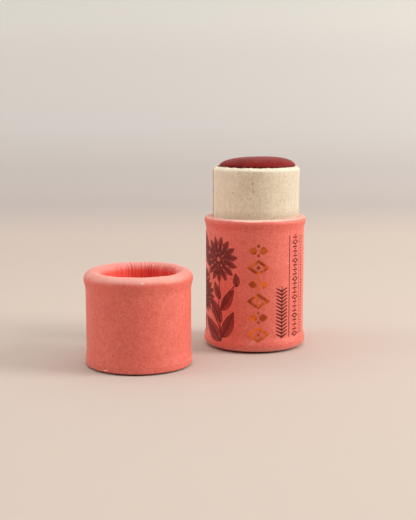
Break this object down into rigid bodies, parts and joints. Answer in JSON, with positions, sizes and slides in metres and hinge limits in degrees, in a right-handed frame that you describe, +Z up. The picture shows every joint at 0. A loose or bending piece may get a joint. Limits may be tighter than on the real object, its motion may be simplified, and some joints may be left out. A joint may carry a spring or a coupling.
{
  "type": "push-up lip balm stick",
  "caption": "Push-up lip balm in a rolled-edge paperboard tube: covered body, bare neck, domed balm on a sliding pusher, and a cap stood beside it.",
  "frame": {"origin": "on the tube's axis, at the flat ring that the rolled foot stands on", "axes": "+Z up along the tube's axis, out of the neck; +X to the right and +Y away from a viewer who faces the printed front, with the cap towards -X and -Y"},
  "size_m": [0.048, 0.0414, 0.042],
  "materials": {
    "body_board": "matte",
    "body_wrap": "matte",
    "neck_board": "matte",
    "neck_facing": "matte",
    "greaseproof": "satin",
    "glue": "matte",
    "pusher_board": "matte",
    "balm": "satin",
    "cap_board": "matte",
    "cap_wrap": "matte",
    "cap_lining": "matte"
  },
  "bodies": {
    "tube": {"body_board": "body_board", "body_wrap": "body_wrap", "neck_board": "neck_board", "neck_facing": "neck_facing", "neck_liner": "greaseproof", "neck_glue": "glue"},
    "stick": {"pusher_ring": "pusher_board", "pusher_disc": "pusher_board", "pusher_film": "greaseproof", "balm": "balm"},
    "cap": {"cap_board": "cap_board", "cap_wrap": "cap_wrap", "cap_lining": "cap_lining", "cap_end_disc": "cap_board", "cap_end_facing": "cap_wrap", "cap_end_film": "greaseproof"}
  },
  "joints": [
    {"name": "push_up", "type": "slide", "parent": "tube", "child": "stick", "axis": [0, 0, 1], "range_m": [0, 0.03]},
    {"name": "cap_lift", "type": "slide", "parent": "tube", "child": "cap", "axis": [0, 0, 1], "range_m": [0, 0.05]}
  ]
}
